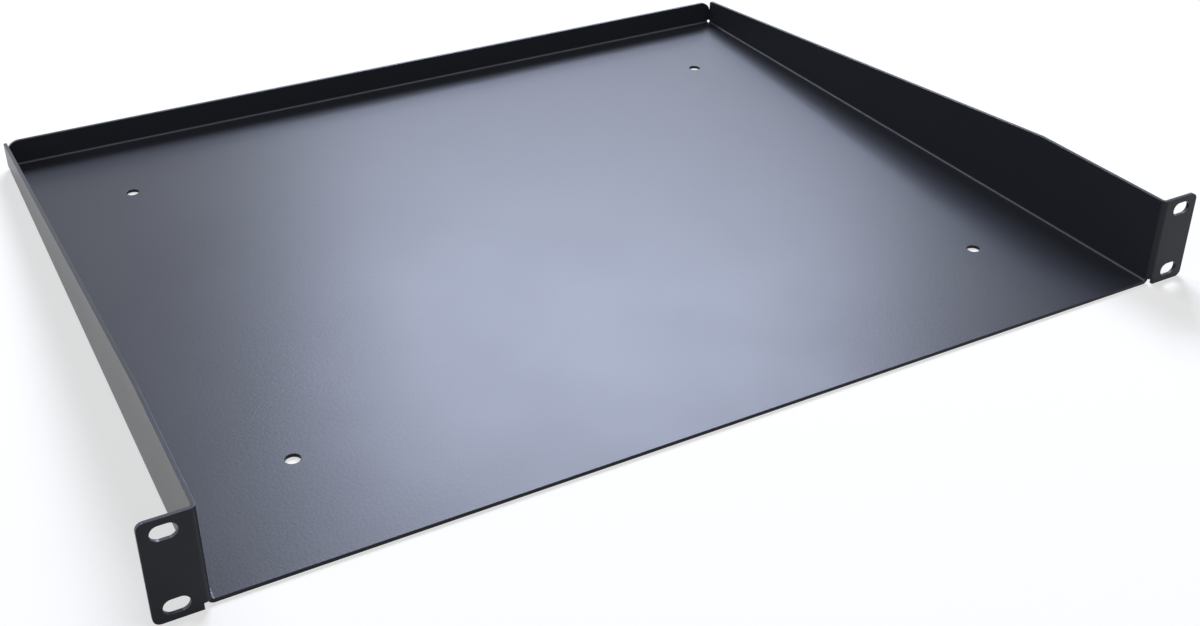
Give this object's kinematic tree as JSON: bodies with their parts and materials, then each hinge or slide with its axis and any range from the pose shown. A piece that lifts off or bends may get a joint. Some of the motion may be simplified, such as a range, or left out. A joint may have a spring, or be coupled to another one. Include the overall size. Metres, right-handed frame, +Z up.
{
  "type": "cantilever rack shelf",
  "caption": "Flat steel shelf for a 19 inch rack, one unit high, with sloping side walls, a low rear wall and slotted front ears.",
  "frame": {"origin": "under the middle of the shelf, at the centre of the bounding box's bottom face, on the underside of the base", "axes": "+X to the right across the rack as seen from the front, +Y from the front ears towards the rear, +Z up"},
  "size_m": [0.4826, 0.381, 0.0435],
  "materials": {
    "black_powder_coat": "satin black powder coat with a fine grain, on folded steel sheet"
  },
  "bodies": {
    "root": {"shelf_pan": "black_powder_coat"}
  },
  "joints": []
}
